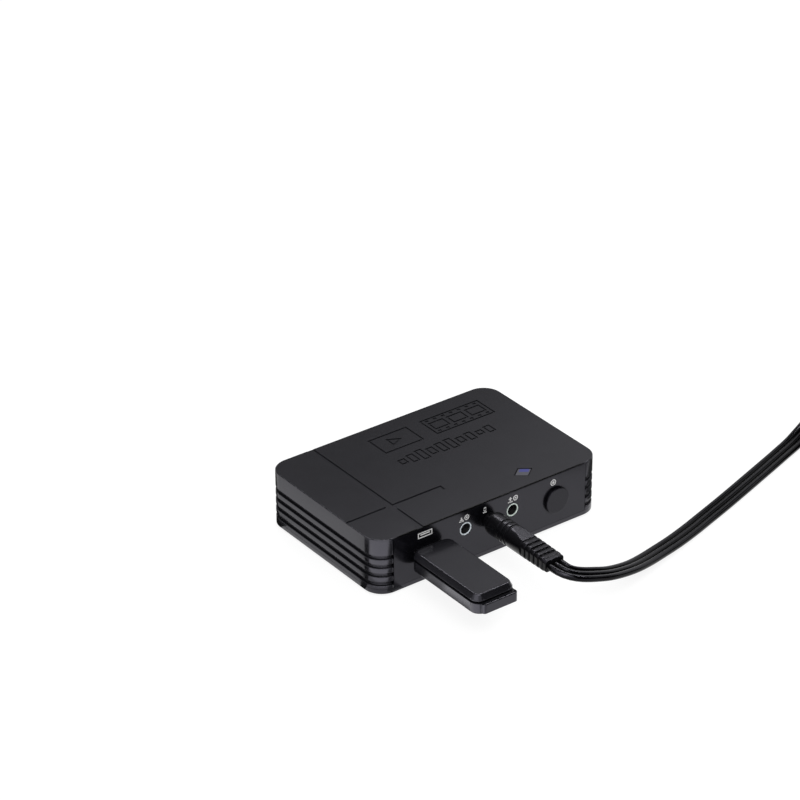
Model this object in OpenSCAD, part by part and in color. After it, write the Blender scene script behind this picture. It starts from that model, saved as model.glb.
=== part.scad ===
// Video capture box with a memory stick and an audio and video lead plugged in.
// The origin is on the table under the middle of the box with its stick. X runs
// along the casing, the sockets for the user face -Y, and Z is up. The modules are
// drawn round the casing's middle, and in_place() moves them to the origin. Units
// are millimetres.

/* [Casing] */
// Length of the casing
case_l = 115; // [112:0.5:140]
// Depth of the casing
case_w = 76.5; // [74:0.5:90]
// Height of the casing without its feet
case_h = 25.5; // [25.2:0.1:40]
// Radius of the upright corners
corner_r = 8.65; // [7.5:0.05:10]
// Thickness of the end walls and of both panels
wall = 2.2; // [2:0.05:2.6]
// Thickness of the top
top_t = 2; // [1.6:0.1:2.6]
// Thickness of the bottom cover
base_t = 2.2; // [2:0.1:3]
// Chamfer round the top edge
edge_c = 0.35; // [0.1:0.05:0.5]
// Seam between the covers and the panels
seam = 0.1; // [0.05:0.05:0.25]
// Distance from the casing's end to the edge of the flat front and rear panels
panel_end = 8.4; // [8:0.1:10]
// Thickness of the top's lip over the panels
lip_t = 0.7; // [0.6:0.1:1]

/* [Grooves] */
// Number of grooves round each end
groove_count = 4; // [1:1:4]
// Spacing of the grooves
groove_pitch = 4.1; // [3:0.1:4.4]
// Height of one groove
groove_h = 1.7; // [1:0.1:2.2]
// Depth of the grooves
groove_depth = 1.2; // [0.4:0.1:1.4]
// Height of the lowest groove's middle above the casing's underside
groove_first = 4.7; // [4.4:0.1:6]

/* [Top face] */
// Width of the two shallow channels across the top
channel_w = 3.4; // [1:0.1:6]
// Depth of the channels
channel_depth = 0.35; // [0.1:0.05:0.8]
// Distance from the left end to the middle of the front-to-back channel
channel_from_end = 21.6; // [15:0.1:28]
// Distance from the front face to the middle of the lengthwise channel
channel_from_front = 19.5; // [12:0.1:26]
// Length of the lengthwise channel
channel_l = 47.6; // [30:0.1:60]
// Line width of the sunk picture signs
sign_line = 0.8; // [0.4:0.1:1.2]
// Depth of the sunk picture signs
sign_depth = 0.3; // [0.1:0.05:0.8]
// Half length of the diamond status window
lens_half_l = 4.8; // [3:0.1:6]
// Half depth of the diamond status window
lens_half_w = 3.65; // [2.4:0.05:4.5]
// Distance from the front face to the middle of the window
lens_from_front = 9.35; // [7:0.05:11]
// How far the window lies beyond the middle between the line out socket and the button
lens_shift = 1.45; // [-1:0.05:2.5]
// How far the window lies below the top
lens_sunk = 0.15; // [0.05:0.05:0.4]
// Clearance round the window
lens_gap = 0.12; // [0.05:0.01:0.3]
// Thickness of the window's flange under the top
lens_flange_t = 0.8; // [0.5:0.1:1]

/* [Sockets] */
// Distance from the casing's left end to the middle of the memory stick's socket
usb_from_end = 25.2; // [23.5:0.1:27.5]
// Distance from the casing's middle to the microphone socket
jack_x = -1.1; // [-2:0.1:0]
// Spacing of the three audio sockets
jack_pitch = 12; // [12:0.1:13]
// Height of an audio socket's axis above the board
jack_c = 7; // [6.8:0.1:7.2]
// Radius of an audio socket's bore
jack_r = 1.8; // [1.8:0.01:1.84]
// Outer radius of the coloured ring in an audio socket's mouth
ring_r = 2.95; // [2.8:0.01:3.1]
// Inner radius of that ring
ring_in_r = 2.4; // [2.2:0.05:2.5]
// Depth of that ring
ring_t = 1.2; // [0.8:0.1:1.6]
// Width of an audio socket's block
jack_w = 11.9; // [11:0.1:11.9]
// Height of an audio socket's block
jack_h = 12.5; // [11:0.1:13.2]
// Depth of an audio socket's block behind the panel
jack_d = 14; // [13.5:0.1:15]
// Clearance of a socket or button in the panel's opening
panel_gap = 0.1; // [0.05:0.05:0.2]
// Distance from the casing's middle to the rear video and audio socket
av_in_x = 17; // [15:0.1:19]
// Distance from the casing's right end to the middle of the power socket
power_from_end = 23.5; // [22.5:0.1:25.5]
// Radius of the power socket's bore
power_r = 3.1; // [2.8:0.05:3.3]
// Radius of the power socket's pin
power_pin_r = 1.05; // [0.8:0.05:1.25]
// Distances from the casing's middle to the digital video sockets
hdmi_x = [-26, -4];
// Outer width of a digital video socket
hdmi_w = 15; // [14.6:0.1:15.4]
// Outer height of a digital video socket
hdmi_h = 5.6; // [5.4:0.1:6]

/* [Record button] */
// Distance from the casing's right end to the middle of the button
button_from_end = 23.9; // [21.5:0.1:25]
// Radius of the button
button_r = 5.75; // [4.5:0.05:6.2]
// How far the button stands out of the panel
button_proud = 1.5; // [0.8:0.1:2.5]
// Travel of the button
button_travel = 0.4; // [0.2:0.05:0.5]
// Height of the button's axis above the board
button_c = 3.7; // [3.6:0.1:4.2]
// Thickness of the flange that holds the button behind the panel
flange_t = 0.8; // [0.6:0.1:1]
// Radius of the switch's plunger
plunger_r = 1.75; // [1.2:0.05:2]

/* [Inside] */
// Room above the board, for the tallest socket
board_room = 14; // [13.6:0.1:14.6]
// Thickness of the board
board_t = 1.6; // [1.2:0.1:2]
// Radius of the top's four screw posts
boss_r = 3.2; // [2.8:0.1:3.4]
// Radius of the casing screws' threads
case_screw_r = 1.2; // [1:0.05:1.4]
// Length of the casing screws below the head
case_screw_l = 10; // [7:0.5:12]
// Radius of the board screws' threads
board_screw_r = 1.1; // [0.9:0.05:1.2]
// Side of the processor's square package
chip_l = 14; // [10:0.5:16]
// Side of the square heat sink
sink_l = 21; // [16:0.5:22]
// Height of the heat sink
sink_h = 8; // [5:0.5:9]
// Number of fins on the heat sink
sink_fins = 7; // [3:1:9]

/* [Feet] */
// How far the feet stand below the casing
foot_proud = 0.8; // [0.5:0.1:1.5]
// Depth of the seats that hold the feet
foot_seat = 0.8; // [0.5:0.1:1]
// Radius of a foot
foot_r = 4; // [3:0.1:4.5]

/* [Memory stick] */
// Width of the stick's lower shell
stick_w = 20.2; // [18:0.1:21]
// Length of the stick's body
stick_l = 44.2; // [41:0.1:50]
// How far the lid's far end stands back from the lower shell's
lid_short = 0.5; // [0.3:0.1:3]
// Height of the stick's body
stick_h = 8.5; // [8.2:0.1:9.2]
// Height of the lower shell
stick_low_h = 4.8; // [4.7:0.1:5]
// Height of the recess between the shells
stick_recess_h = 0.7; // [0.5:0.1:1]
// Set-in of the top shell from the lower shell
stick_inset = 0.1; // [0:0.05:0.8]
// Wall of the stick's shells
stick_wall = 1.2; // [0.8:0.1:1.4]
// Gap between the stick and the panel
stick_gap = 1.05; // [0.5:0.05:3]
// Width of the tab on the stick's far end
tab_w = 17.3; // [12:0.1:18]
// How far that tab stands out
tab_out = 1; // [0.5:0.1:4]
// Thickness of that tab
tab_t = 4; // [2.5:0.1:4.1]

/* [Lead plug] */
// Radius of the plug's contacts
plug_r = 1.75; // [1.7:0.01:1.77]
// Radius of the neck of the plug's grip
neck_r = 3.5; // [2.8:0.1:3.7]
// Length of the neck
neck_l = 1.7; // [1.4:0.1:4]
// Radius of the round end of the grip
grip_r = 5; // [4.7:0.1:5.4]
// Width of the flat end of the grip
grip_w = 9.6; // [9.2:0.1:10]
// Height of the flat end of the grip
grip_end_h = 5.4; // [4.8:0.1:6.2]
// Gap between the plug's neck and the panel
neck_gap = 0.3; // [0.3:0.05:0.6]
// Width of the flat three-core cord
ribbon_w = 8.4; // [8:0.1:8.5]
// Thickness of the flat three-core cord
ribbon_t = 2.8; // [2.6:0.05:2.85]
// Whole turns of the coil that the spare cord lies in, on edge
coil_whole_turns = 3; // [2:1:3]
// Spacing of the coil's turns
coil_pitch = 3.3; // [3.25:0.05:3.5]

/* [Phono plugs] */
// Radius of a phono plug's grip
phono_grip_r = 4.7; // [4.4:0.1:4.9]
// Length of a phono plug's grip
phono_grip_l = 14; // [10:0.5:16]
// Radius of a phono plug's collar
collar_r = 4.2; // [4:0.05:4.3]
// Length of the collar
collar_l = 8; // [7:0.5:9]
// Radius of the centre pin
phono_pin_r = 1.6; // [1.5:0.05:1.7]
// How far the pin stands out of the collar
phono_pin_out = 7; // [5:0.5:7.5]
// Spacing of the three phono plugs
phono_pitch = 10.6; // [10:0.1:10.8]

/* [Hidden] */
$fn = 48;

// Heights from the table
under_z = foot_proud;
base_z = under_z + base_t;
top_z = under_z + case_h;
ceiling_z = top_z - top_t;
board_top = ceiling_z - board_room;
board_z = board_top - board_t;
post_h = board_z - base_z;
// Faces of the casing
front_y = -case_w/2;
rear_y = case_w/2;
panel_in = front_y + wall;
rear_in = rear_y - wall;
left_x = -case_l/2;
right_x = case_l/2;
panel_l = case_l - 2*panel_end;
// Inner corner radius of the walls
inner_r = corner_r - wall;
// Screw posts sit in the casing's corners
boss_in = wall + 4.8;
boss_x = case_l/2 - boss_in;
boss_y = case_w/2 - boss_in;
pad_h = 1.5;
root = 0.5;
pad_r = boss_r + 0.2;
screw_play = 0.05;
head_r = 2.4;
head_t = 1.6;
counterbore = head_t + 0.2;
boss_bore = case_screw_r + screw_play;
// The board keeps clear of the walls and its front edge stands back from the button
board_gap = 1.8;
board_set_back = 2.45;
board_l = case_l - 2*wall - 2*board_gap;
board_front = panel_in + board_set_back;
board_rear = rear_in - board_gap + 0.55;
board_w = board_rear - board_front;
notch_l = 6;
notch_w = 4.8;
board_mid = (board_front + board_rear)/2;
post_r = 3;
post_x = case_l/2 - 14.5;
post_y = case_w/2 - 14.25;
board_head_t = 1.5;
board_screw_in = post_h - 2.2;
board_head_r = 2.2;
// Sockets on the front edge
block_gap = 0.1;
jack_y = panel_in + block_gap;
jack_z = board_top + jack_c;
jack_bore_l = 15.5;
usb_x = left_x + usb_from_end;
usb_c = 3.5;
usb_z = board_top + usb_c;
usb_in_w = 12.5;
usb_in_h = 5.1;
usb_shell_t = 0.3;
usb_shell_l = 14;
usb_shell_y = front_y + 0.25;
usb_block_l = 2.5;
power_x = right_x - power_from_end;
button_x = right_x - button_from_end;
button_z = board_top + button_c;
lens_x = (jack_x + jack_pitch + button_x)/2 + lens_shift;
// Memory stick: standard plug of 12 by 4.5 mm
stick_plug_w = 12;
stick_plug_h = 4.5;
stick_plug_t = 0.3;
stick_plug_l = 11.75;
stick_near = front_y - stick_gap;
stick_far = stick_near - stick_l;
stick_mid = stick_near - stick_l/2;
lid_l = stick_l - lid_short;
lid_mid = stick_near - lid_l/2;
lid_edge = 1.2;
lid_slope = 2.3;
lid_corner = 4;
stick_under = usb_z - 3.75;
stick_low_top = stick_under + stick_low_h;
stick_recess_top = stick_low_top + stick_recess_h;
stick_top_z = stick_under + stick_h;
stick_corner = 4.6;
stick_plug_end = stick_near + stick_plug_l;
stick_plug_tail = 4;
insert_h = 1.95;
insert_z = usb_z - stick_plug_h/2 + stick_plug_t;
stick_board_t = 0.8;
stick_board_z = stick_under + stick_wall + 1.4;
contact_t = 0.08;
// Plug of the lead
neck_y = front_y - neck_gap;
cone_l = 1.6;
cone_step = 1;
round_l = 14.8;
blend_l = 9;
rib_pitch = 2.85;
rib_count = 5;
rib_first_h = 7.4;
rib_corner = [2.4, 1.3];
rib_last_h = grip_end_h + 0.3;
end_block_l = 2;
grip_groove_w = 1;
grip_groove_t = 0.45;
grip_grooves = [2, 8.8, 11.5, 14];
end_step = 0.15;
grip_y = neck_y - neck_l;
blend_y = grip_y - round_l;
ribs_y = blend_y - blend_l;
plug_end_y = ribs_y - rib_count*rib_pitch - end_block_l;
plug_parts = [3.9, 0.6, 2.4, 0.6, 2.4, 0.6, 3.5];
// Route of the flat cord over the table: place and bank, in degrees
ribbon_route = [[jack_x, plug_end_y, jack_z, 0], [-1, -83.5, 17.1, 2], [0.5, -86.5, 16.2, 5],
    [3.5, -88.3, 14.9, 8], [7.5, -89.2, 13.5, 9], [12.5, -89.6, 11.9, 8], [18.5, -89.8, 10.1, 5],
    [25.5, -89, 8.2, 2], [33.5, -87.5, 6.4, 0], [42.5, -85, 4.8, 0], [52.5, -82, 3.6, 0],
    [63, -79, 2.7, 0], [75, -75.2, 2, 0], [87, -71.2, 1.6, 0], [99, -67.4, 1.5, 0],
    [111, -63.5, 1.5, 0], [123, -59.5, 1.5, 0], [135, -55.5, 1.5, 0], [147, -51.5, 1.6, 0],
    [158, -47.8, 1.8, 4], [167, -44.5, 2.5, 14], [175, -41.8, 3.3, 27], [185.7, -40, 4, 42],
    [196.4, -40.8, 4.4, 57], [206.4, -43.8, 4.5, 71], [215.5, -48.5, 4.4, 82]];
// Coil of the spare cord, wound inwards and clockwise seen from above
coil_c = [192, -91];
coil_r = 48;
coil_start = 49;
coil_rings = 24;
turn = 360;
coil_end = -turn*(coil_whole_turns + 0.5);
coil_turns = (coil_start - coil_end)/turn;
coil_in_r = coil_r - coil_pitch*coil_turns;
// Cores of the cord, parted and led to the phono plugs inside the coil
core_count = 3;
core_r = 1.3;
tail_steps = 14;
tail_gap = 0.02;
phono_ahead = 8;
phono_y = coil_c[1] + phono_ahead;
relief_l = 10;
relief_r = 2.9;
phono_z = phono_grip_r;
insulator_t = 2;

function unit(v) = v/norm(v);
function xyz(p) = [p[0], p[1], p[2]];
function polar(c, r, a) = [c[0] + r*cos(a), c[1] + r*sin(a)];
function sideways(t) = unit([-t[1], t[0], 0]);
function across(t, bank) = cos(bank)*sideways(t) + sin(bank)*cross(t, sideways(t));
function heading(p, i, first, last) =
    i == 0 ? first : i == len(p) - 1 ? last : unit(p[i + 1] - p[i - 1]);
function ring(p, t, bank, section) =
    let(a = across(t, bank), n = cross(t, a)) [for (q = section) p + q[0]*a + q[1]*n];
function flat_section(w, t) = [[w/2, 0.2*t], [0.4*w, t/2], [-0.4*w, t/2], [-w/2, 0.2*t],
    [-w/2, -0.2*t], [-0.4*w, -t/2], [0.4*w, -t/2], [w/2, -0.2*t]];
function round_section(r, n) = [for (i = [0:n - 1]) r/cos(180/n)*[cos(360*(i + 0.5)/n), sin(360*(i + 0.5)/n)]];
function coil_point(i) =
    let(a = coil_start - turn*i/coil_rings, q = polar(coil_c, coil_r - coil_pitch*i/coil_rings, a))
    [q[0], q[1], ribbon_w/2];
function coil_heading(a) = [sin(a), -cos(a), 0];

// Tube swept along points, with one bank angle per point
module swept(p, banks, first, last, section) {
    n = len(section);
    rings = [for (i = [0:len(p) - 1]) each ring(p[i], heading(p, i, first, last), banks[i], section)];
    sides = [for (i = [0:len(p) - 2], k = [0:n - 1])
        let(a = i*n + k, b = i*n + (k + 1)%n) each [[a, b + n, b], [a, a + n, b + n]]];
    near_cap = [for (k = [1:n - 2]) [0, k, k + 1]];
    far_cap = [for (k = [1:n - 2]) (len(p) - 1)*n*[1, 1, 1] + [0, k + 1, k]];
    polyhedron(rings, concat(sides, near_cap, far_cap));
}

module rounded_rect(l, w, r) {
    square([l - 2*r, w], center = true);
    square([l, w - 2*r], center = true);
    for (x = [-1, 1], y = [-1, 1]) translate([x*(l/2 - r), y*(w/2 - r)]) circle(r);
}

// Upright block with rounded corners and a bevelled top edge, c wide and b high
module chamfered_block(l, w, r, h, c, b) {
    linear_extrude(h - b) rounded_rect(l, w, r);
    translate([0, 0, h - b]) {
        for (x = [-1, 1], y = [-1, 1])
            translate([x*(l/2 - r), y*(w/2 - r), 0]) cylinder(h = b, r1 = r, r2 = r - c);
        rotate([90, 0, 90]) linear_extrude(l - 2*r, center = true) bevel_bar(w, c, b);
        rotate([90, 0, 0]) linear_extrude(w - 2*r, center = true) bevel_bar(l, c, b);
    }
}

module bevel_bar(w, c, b) {
    polygon([[-w/2, 0], [w/2, 0], [w/2 - c, b], [c - w/2, b]]);
}

module rhombus(a, b) {
    polygon([[-a, 0], [0, -b], [a, 0], [0, b]]);
}

module outline_rect(l, w, t) {
    difference() {
        square([l, w], center = true);
        square([l - 2*t, w - 2*t], center = true);
    }
}

module outline_play(l, t) {
    difference() {
        polygon([[-l/2, -l/2], [l/2, 0], [-l/2, l/2]]);
        polygon([[-l/2 + t, 1.7*t - l/2], [l/2 - 2.2*t, 0], [-l/2 + t, l/2 - 1.7*t]]);
    }
}

// Cylinder along Y from y0 towards +Y
module rod_y(r, y0, l) {
    translate([0, y0, 0]) rotate([-90, 0, 0]) cylinder(r = r, h = l);
}

// Box from a front-lower-middle point: centred on X, growing to +Y and +Z
module block(x, y, z, l, w, h) {
    translate([x - l/2, y, z]) cube([l, w, h]);
}

// Flat oblong outline with round ends
module oblong(w, h) {
    if (w > h) {
        square([w - h, h], center = true);
        for (s = [-1, 1]) translate([s*(w - h)/2, 0]) circle(h/2);
    } else circle(w/2);
}

module at_corners(x, y) {
    for (i = [-1, 1], k = [-1, 1]) translate([i*x, k*y, 0]) children();
}

// Places that the top, the board and the lower cover share
module at_screws() {
    at_corners(boss_x, boss_y) children();
}

module at_posts() {
    at_corners(post_x, post_y) children();
}

// Rows of the sunk picture signs on the top: a screen, a film strip and sound bars
sign_top_y = 23.2;
sign_low_y = 7.4;
screen_x = -2.6;
screen_l = 20;
sign_h = 13;
play_r = 6.5;
film_x = 29.6;
film_l = 31;
film_frame = [8, 6];
film_pitch = 9.6;
film_hole = [1.6, 1.2];
film_hole_pitch = [4.2, 4.6];
bar_w = 3.6;
bar_pitch = 5;
bar_x0 = -10.6;
bar_heights = [4, 6.4, 8.2, 5.6, 7.4, 8.2, 4.8, 6.4, 3.6, 5.6];

module picture_signs() {
    translate([screen_x, sign_top_y]) {
        outline_rect(screen_l, sign_h, sign_line);
        outline_play(play_r, sign_line);
    }
    translate([film_x, sign_top_y]) {
        outline_rect(film_l, sign_h, sign_line);
        for (i = [-1, 0, 1]) translate([film_pitch*i, 0]) outline_rect(film_frame[0], film_frame[1], sign_line);
        for (i = [-3:3], s = [-1, 1])
            translate([film_hole_pitch[0]*i, film_hole_pitch[1]*s]) square(film_hole, center = true);
    }
    for (i = [0:len(bar_heights) - 1])
        translate([bar_x0 + bar_pitch*i, sign_low_y]) outline_rect(bar_w, bar_heights[i], sign_line);
}

module top_cover() {
    color("#2b2b2e") {
        difference() {
            translate([0, 0, base_z + seam])
                chamfered_block(case_l, case_w, corner_r, case_h - base_t - seam, edge_c, edge_c);
            linear_extrude(ceiling_z) rounded_rect(case_l - 2*wall, case_w - 2*wall, inner_r);
            for (s = [-1, 1]) translate([0, s*case_w/2, top_z/2 - lip_t])
                cube([panel_l + 2*seam, 2*wall, top_z], center = true);
            for (i = [0:groove_count - 1])
                translate([0, 0, under_z + groove_first + groove_pitch*i - groove_h/2])
                    linear_extrude(groove_h) difference() {
                        rounded_rect(case_l + 2, case_w + 2, corner_r + 1);
                        rounded_rect(case_l - 2*groove_depth, case_w - 2*groove_depth,
                            corner_r - groove_depth);
                    }
            translate([left_x + channel_from_end - channel_w/2, front_y - 1, top_z - channel_depth])
                cube([channel_w, case_w + 2, 1]);
            translate([left_x - 1, front_y + channel_from_front - channel_w/2, top_z - channel_depth])
                cube([channel_l + 1, channel_w, 1]);
            translate([0, 0, top_z - sign_depth]) linear_extrude(1) picture_signs();
            translate([lens_x, front_y + lens_from_front, ceiling_z - 1])
                linear_extrude(top_t + 2) rhombus(lens_half_l, lens_half_w);
        }
        at_screws() difference() {
            translate([0, 0, base_z + pad_h + seam])
                cylinder(r = boss_r, h = ceiling_z - base_z - pad_h - seam);
            cylinder(r = boss_bore, h = base_z + pad_h + seam + case_screw_l);
        }
    }
}

// Ribs that centre the lower cover between the panels and the end walls
rib_t = 1;
rib_h = 1.2;
rib_short = 7.1;
rib_side = 16.25;

module bottom_cover() {
    color("#232326") difference() {
        union() {
            translate([0, 0, base_z]) mirror([0, 0, 1])
                chamfered_block(case_l, case_w, corner_r, base_t, edge_c, edge_c);
            at_screws() translate([0, 0, base_z - root]) cylinder(r = pad_r, h = pad_h + root);
            at_posts() translate([0, 0, base_z - root]) cylinder(r = post_r, h = post_h + root);
            for (s = [-1, 1]) {
                translate([0, s*(rear_in - seam - rib_t/2), 0])
                    block(0, -rib_t/2, base_z - root, panel_l - 2*rib_short, rib_t, rib_h + root);
                translate([s*(case_l/2 - wall - seam - rib_t/2), 0, 0])
                    block(0, rib_side - case_w/2, base_z - root, rib_t, case_w - 2*rib_side, rib_h + root);
            }
        }
        at_screws() {
            cylinder(r = case_screw_r + 0.4, h = base_z + pad_h + 1);
            cylinder(r = head_r + 0.3, h = under_z + counterbore);
        }
        at_posts() {
            translate([0, 0, base_z + 1]) cylinder(r = board_screw_r + screw_play, h = post_h);
            cylinder(r = foot_r + 0.1, h = under_z + foot_seat);
        }
    }
}

module panel(y) {
    block(0, y, base_z + seam, panel_l, wall, top_z - lip_t - 2*seam - base_z);
}

module front_panel() {
    color("#29292c") difference() {
        panel(front_y);
        block(usb_x, front_y - 1, usb_z - usb_in_h/2 - usb_shell_t - panel_gap,
            usb_in_w + 2*usb_shell_t + 2*panel_gap, wall + 2, usb_in_h + 2*usb_shell_t + 2*panel_gap);
        for (i = [-1:1]) translate([jack_x + i*jack_pitch, 0, jack_z])
            rod_y(ring_r + panel_gap, front_y - 1, wall + 2);
        translate([button_x, 0, button_z]) rod_y(button_r + panel_gap, front_y - 1, wall + 2);
    }
}

module rear_panel() {
    color("#29292c") difference() {
        panel(rear_in);
        for (x = hdmi_x)
            block(x, rear_in - 1, board_top - panel_gap, hdmi_w + 2*panel_gap, wall + 2, hdmi_h + 2*panel_gap);
        translate([av_in_x, 0, jack_z]) rod_y(ring_r + panel_gap, rear_in - 1, wall + 2);
        translate([power_x, 0, power_z]) rod_y(power_r + 0.9, rear_in - 1, wall + 2);
    }
}

module cross_recess(z, l) {
    for (a = [0, 90]) translate([0, 0, z]) rotate(a) cube([l, 0.7, 1.6], center = true);
}

module case_screws() {
    color("#3a3a3e") at_screws() {
        difference() {
            translate([0, 0, under_z + counterbore - head_t]) cylinder(r = head_r, h = head_t);
            cross_recess(under_z + counterbore - head_t, 2.8);
        }
        translate([0, 0, under_z + counterbore]) cylinder(r = case_screw_r, h = case_screw_l);
    }
}

module rubber_feet() {
    color("#1b1b1c") at_posts() cylinder(r = foot_r, h = foot_proud + foot_seat);
}

module main_board() {
    color("#1f5a34") difference() {
        block(0, board_front, board_z, board_l, board_w, board_t);
        at_screws() translate([0, 0, board_z - 1]) cylinder(r = boss_r + 0.5, h = board_t + 2);
        at_posts() translate([0, 0, board_z - 1]) cylinder(r = board_screw_r + 0.3, h = board_t + 2);
        for (i = [-1, 1], k = [-1, 1])
            translate([i*(board_l/2 - 0.5), board_mid + k*board_w/2, board_z - 1])
                block(0, -notch_w/2, 0, notch_l, notch_w, board_t + 2);
    }
}

module board_screws() {
    color("#b9b9bd") at_posts() translate([0, 0, board_top]) {
        difference() {
            cylinder(r = board_head_r, h = board_head_t);
            cross_recess(board_head_t, 2.6);
        }
        translate([0, 0, -board_t - board_screw_in]) cylinder(r = board_screw_r, h = board_t + board_screw_in);
    }
}

// A chip package on the board, with its middle at x, y
module package(x, y, l, w, h) {
    block(x, y - w/2, board_top, l, w, h);
}

chip_x = -5;
chip_y = 0;
chip_t = 1.3;
pad_t = 1;
fin_base = 1.6;
fin_t = 1.1;

module processor() {
    color("#1c1c1e") package(chip_x, chip_y, chip_l, chip_l, chip_t);
}

module thermal_pad() {
    color("#8f9fb0") translate([0, 0, chip_t]) package(chip_x, chip_y, chip_l, chip_l, pad_t);
}

module heat_sink() {
    fin_step = (sink_l - fin_t)/(sink_fins - 1);
    color("#a9abb0") translate([0, 0, chip_t + pad_t]) {
        package(chip_x, chip_y, sink_l, sink_l, fin_base);
        for (i = [0:sink_fins - 1])
            package(chip_x - sink_l/2 + fin_t/2 + i*fin_step, chip_y, fin_t, sink_l, sink_h);
    }
}

memory_x = 13.5;
memory_l = 8;
memory_w = 12;
memory_t = 1.1;
memory_out = 8;

module memory_chips() {
    color("#1a1a1c") for (s = [-1, 1]) package(memory_x, s*memory_out - 0.5, memory_l, memory_w, memory_t);
}

flash_at = [-25, -12];
flash_size = [8, 5.2, 1.7];

module flash_chip() {
    color("#202022") package(flash_at[0], flash_at[1], flash_size[0], flash_size[1], flash_size[2]);
}

// The video chips lie in front of their sockets
receiver_l = 10;
receiver_gap = 7.45;
sender_l = 9;
sender_gap = 3.55;
video_t = 1.2;

module video_receiver() {
    color("#1d1d20") package(hdmi_x[0] - 1, hdmi_front - receiver_gap - receiver_l/2, receiver_l, receiver_l, video_t);
}

module video_transmitter() {
    color("#1d1d20") package(hdmi_x[1] + 1, hdmi_front - sender_gap - sender_l/2, sender_l, sender_l, video_t);
}

module crystal() {
    color("#c4c6ca") translate([-24, 0, board_top]) linear_extrude(3.5) oblong(10.6, 4.4);
}

// Capacitors and inductors stand in front of the power socket and behind the stick's socket
can_r = 2.6;
can_h = 5.8;
can_foot = 5.6;
can_foot_t = 0.6;
can_pitch = 7.5;
can_gap = 8.95;
can_side = 12.7;
coil_block = 6;
coil_block_h = 2.4;
coil_core_r = 2.5;
coil_core_h = 3;
coil_block_pitch = 9;

module capacitors() {
    row_y = power_mouth - power_d - can_gap;
    row = [for (i = [-1:1]) [power_x - 0.5 + i*can_pitch, row_y]];
    pair = [for (i = [0, 1]) [usb_x - can_side, -(1 - i)*4/3*can_pitch]];
    color("#3d4a6b") for (q = concat(row, pair)) translate([q[0], q[1], board_top]) {
        cylinder(r = can_r, h = can_h);
        linear_extrude(can_foot_t) square(can_foot, center = true);
    }
}

module inductors() {
    y = power_mouth - power_d - can_gap - can_r - 18.4;
    at = [[-2*coil_block_pitch/3, 0], [coil_block_pitch/3, 0], [-coil_block_pitch/9, coil_block_pitch + 1]];
    color("#4a4a4c") for (q = at) translate([power_x + q[0], y + q[1], 0]) {
        package(0, 0, coil_block, coil_block, coil_block_h);
        translate([0, 0, board_top]) cylinder(r = coil_core_r, h = coil_core_h);
    }
}

module usb_socket_shell() {
    color("#c9cace") {
        difference() {
            block(usb_x, usb_shell_y, usb_z - usb_in_h/2 - usb_shell_t, usb_in_w + 2*usb_shell_t,
                usb_shell_l, usb_in_h + 2*usb_shell_t);
            block(usb_x, usb_shell_y - 1, usb_z - usb_in_h/2, usb_in_w, usb_shell_l + 2, usb_in_h);
        }
        for (s = [-1, 1]) translate([usb_x + s*(usb_in_w/2 + usb_shell_t/2), 0, 0])
            block(0, board_front + 1, board_top, usb_shell_t, 3, usb_c - usb_in_h/2);
    }
}

tongue_w = 11;
tongue_t = 1.6;
tongue_z = insert_z + insert_h + 0.25;
tongue_front = usb_shell_y + 1.9;
usb_back_y = usb_shell_y + usb_shell_l - usb_block_l;

module usb_socket_tongue() {
    color("#e4e2dc") {
        block(usb_x, usb_back_y, usb_z - usb_in_h/2, usb_in_w, usb_block_l, usb_in_h);
        block(usb_x, tongue_front, tongue_z, tongue_w, usb_back_y - tongue_front, tongue_t);
        block(usb_x, board_front + 4.4, board_top, usb_in_w, 4.2, usb_c - usb_in_h/2 - usb_shell_t);
    }
}

module usb_socket_contacts() {
    color("#d8b25a") for (x = [-3.5, -1, 1, 3.5])
        block(usb_x + x, tongue_front + 0.6, tongue_z - contact_t, 1, usb_back_y - tongue_front - 0.6, contact_t);
}

// Audio socket block with its nose through the front panel at y = front_y
module audio_socket(x) {
    nose_l = jack_y - front_y;
    slot_w = 0.6;
    difference() {
        union() {
            block(x, jack_y, board_top, jack_w, jack_d, jack_h);
            translate([x, 0, jack_z]) rod_y(ring_r, front_y + ring_t, nose_l - ring_t + 0.5);
        }
        translate([x, 0, jack_z]) {
            rod_y(jack_r, front_y, jack_bore_l);
            rod_y(ring_in_r, front_y, ring_t + 0.8);
        }
        for (s = [-1, 1])
            block(x + s*contact_x, jack_y + contact_y, board_top - 1, slot_w, contact_l + 0.2, contact_h + 1.1);
    }
}

contact_x = 4.2;
contact_y = 6;
contact_l = 5;
contact_h = 9.4;

module line_in_socket() {
    color("#1a1a1c") audio_socket(jack_x - jack_pitch);
}

module mic_socket() {
    color("#1a1a1c") audio_socket(jack_x);
}

module line_out_socket() {
    color("#1a1a1c") audio_socket(jack_x + jack_pitch);
}

// Coloured ring in the mouth of an audio socket
module mouth_ring(x) {
    translate([x, 0, jack_z]) difference() {
        rod_y(ring_r, front_y, ring_t);
        rod_y(ring_in_r, front_y - 1, ring_t + 2);
    }
}

module line_in_ring() {
    color("#cfe4f7") mouth_ring(jack_x - jack_pitch);
}

module mic_ring() {
    color("#f3c6d4") mouth_ring(jack_x);
}

module line_out_ring() {
    color("#d5f0dc") mouth_ring(jack_x + jack_pitch);
}

module socket_contacts() {
    color("#c9cace") for (i = [-1:1], s = [-1, 1])
        block(jack_x + i*jack_pitch + s*contact_x, jack_y + contact_y + 0.1, board_top, 0.4, contact_l, contact_h);
}

stem_r = 2;
stem_l = 2.2;
flange_start = panel_in + 0.05;
stem_start = flange_start + flange_t;
stem_end = stem_start + stem_l;
switch_front = stem_end + 2.5;
switch_w = 6.2;
switch_d = 4;
plunger_in = 0.3;
switch_bore_l = plunger_in + button_travel + 0.5;

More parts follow.
